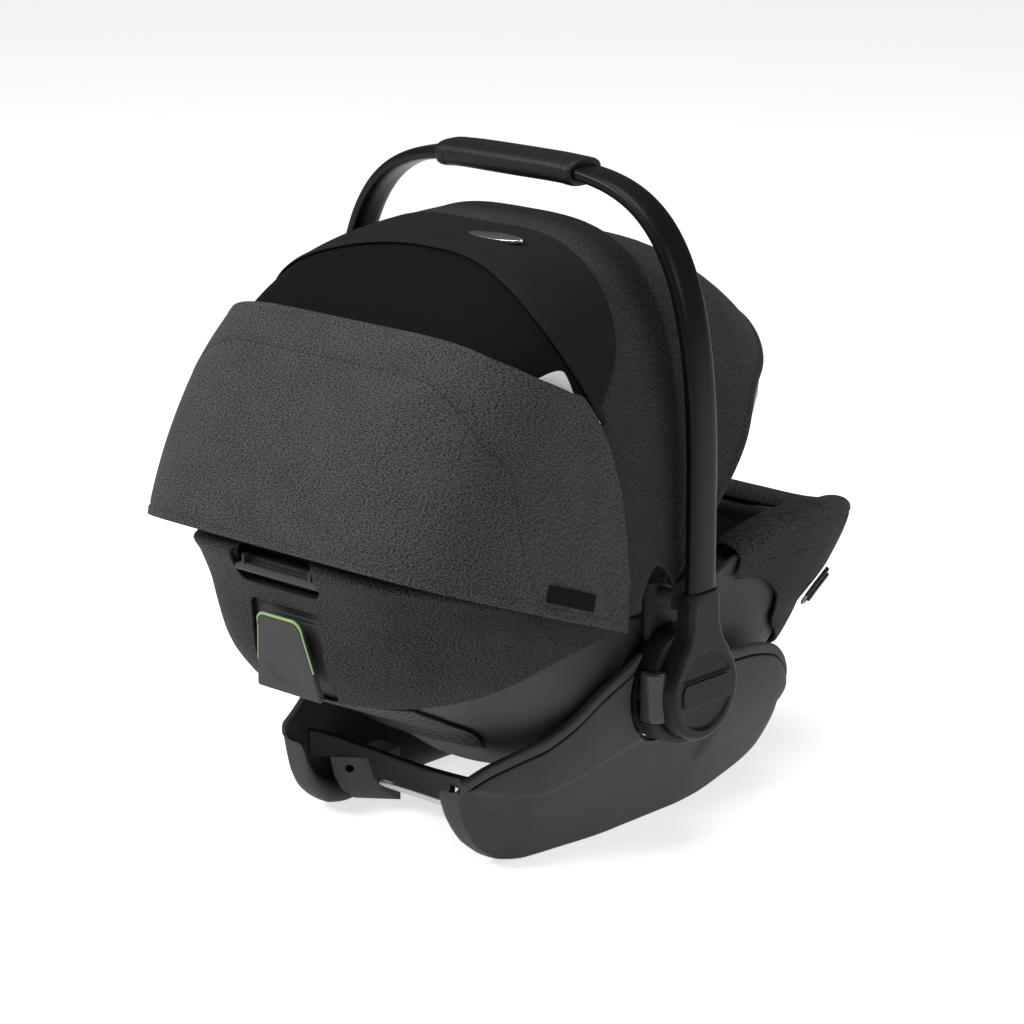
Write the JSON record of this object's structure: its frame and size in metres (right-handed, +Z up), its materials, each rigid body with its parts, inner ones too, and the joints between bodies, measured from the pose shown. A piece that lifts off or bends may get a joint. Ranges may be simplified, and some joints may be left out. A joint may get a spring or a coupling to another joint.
{
  "type": "infant car seat",
  "caption": "Rear-facing infant car seat: fabric-covered bucket on a rocking base, carry handle turning on side hubs, folding hood with mesh window and visor, rear release lever",
  "frame": {"origin": "on the floor, under the middle of the seat's bounding box", "axes": "+Z up, +Y towards the head end along the length, +X to the right side of a person who stands at the foot end and looks at the head end"},
  "size_m": [0.4478, 0.665, 0.6],
  "materials": {
    "fabric": "woven melange cloth, matt",
    "dark_fabric": "plain dark cloth, matt",
    "mesh_cloth": "fine ventilation mesh",
    "lining": "soft knitted lining",
    "shell_plastic": "fine grained, satin",
    "base_plastic": "fine grained, satin",
    "handle_metal": "satin black coat",
    "leather": "soft grained, stitched",
    "button_grey": "smooth, slightly glossy",
    "steel": "bright drawn steel",
    "foam": "moulded bead foam",
    "webbing": "tight woven webbing",
    "buckle_red": "smooth red"
  },
  "bodies": {
    "seat": {"seat_shell": "shell_plastic", "foam_liner": "foam", "seat_pad": "lining", "shell_cover": "fabric", "foot_cover": "fabric", "vent_panel": "shell_plastic", "belt_slot_bar": "shell_plastic", "release_housing": "shell_plastic", "runner_left": "base_plastic", "runner_right": "base_plastic", "side_cover_left": "base_plastic", "side_cover_right": "base_plastic", "rear_cap_left": "base_plastic", "rear_cap_right": "base_plastic", "rear_crossmember": "base_plastic", "front_crossmember": "base_plastic", "dock_bar_rear": "steel", "dock_bar_front": "steel", "pivot_boss_left": "shell_plastic", "pivot_boss_right": "shell_plastic", "canopy_mount_left": "shell_plastic", "canopy_mount_right": "shell_plastic", "canopy_back": "fabric", "foot_bezel_left": "shell_plastic", "foot_bezel_right": "shell_plastic", "shoulder_strap_left": "webbing", "shoulder_strap_right": "webbing", "strap_pad_left": "lining", "strap_pad_right": "lining", "buckle_body": "shell_plastic", "buckle_tongue_left": "steel", "buckle_tongue_right": "steel", "crotch_strap": "webbing", "harness_adjuster": "shell_plastic"},
    "handle": {"handle_arch": "handle_metal", "handle_grip": "leather", "handle_end_left": "handle_metal", "handle_end_right": "handle_metal", "handle_hub_left": "handle_metal", "handle_hub_right": "handle_metal", "pivot_bolt_left": "steel", "pivot_bolt_right": "steel", "hub_plate_left": "base_plastic", "hub_plate_right": "base_plastic"},
    "hub_button_left": {"hub_button_left": "button_grey", "hub_spring_left": "steel"},
    "hub_button_right": {"hub_button_right": "button_grey", "hub_spring_right": "steel"},
    "hood": {"hood_panel": "dark_fabric", "hood_bow": "shell_plastic", "hood_window": "mesh_cloth"},
    "visor": {"visor_panel": "fabric", "visor_bow": "shell_plastic"},
    "release_lever": {"release_lever": "shell_plastic"},
    "foot_button_left": {"foot_button_left": "shell_plastic"},
    "foot_button_right": {"foot_button_right": "shell_plastic"},
    "headrest": {"headrest": "lining"},
    "buckle_button": {"buckle_button": "buckle_red"},
    "adjuster_button": {"adjuster_button": "button_grey"}
  },
  "joints": [
    {"name": "handle_swing", "type": "hinge", "parent": "seat", "child": "handle", "pos_m": [0, 0.01496, 0.149], "axis": [1, 0, 0], "range_deg": [-100, 75]},
    {"name": "hub_button_left_press", "type": "slide", "parent": "handle", "child": "hub_button_left", "axis": [1, 0, 0], "range_m": [0, 0.0035], "stiffness_N_per_m": 900},
    {"name": "hub_button_right_press", "type": "slide", "parent": "handle", "child": "hub_button_right", "axis": [-1, 0, 0], "range_m": [0, 0.0035], "stiffness_N_per_m": 900},
    {"name": "hood_fold", "type": "hinge", "parent": "seat", "child": "hood", "pos_m": [0, 0.02496, 0.228], "axis": [1, 0, 0], "range_deg": [-35, 0]},
    {"name": "visor_fold", "type": "hinge", "parent": "hood", "child": "visor", "pos_m": [0, 0.02496, 0.228], "axis": [1, 0, 0], "range_deg": [-38, 0]},
    {"name": "release_lever_pull", "type": "hinge", "parent": "seat", "child": "release_lever", "pos_m": [0, 0.29696, 0.168], "axis": [1, 0, 0], "range_deg": [-18, 0], "stiffness_Nm_per_rad": 1.2},
    {"name": "foot_button_left_press", "type": "slide", "parent": "seat", "child": "foot_button_left", "axis": [0.8562, 0.3941, 0.3341], "range_m": [0, 0.003], "stiffness_N_per_m": 700},
    {"name": "foot_button_right_press", "type": "slide", "parent": "seat", "child": "foot_button_right", "axis": [-0.8562, 0.3941, 0.3341], "range_m": [0, 0.003], "stiffness_N_per_m": 700},
    {"name": "headrest_slide", "type": "slide", "parent": "seat", "child": "headrest", "axis": [0, 0.891, 0.454], "range_m": [0, 0.036]},
    {"name": "buckle_button_press", "type": "slide", "parent": "seat", "child": "buckle_button", "axis": [0, 0.309, -0.9511], "range_m": [0, 0.003], "stiffness_N_per_m": 1200},
    {"name": "adjuster_button_press", "type": "slide", "parent": "seat", "child": "adjuster_button", "axis": [0, 0.7431, -0.6691], "range_m": [0, 0.002], "stiffness_N_per_m": 900}
  ]
}
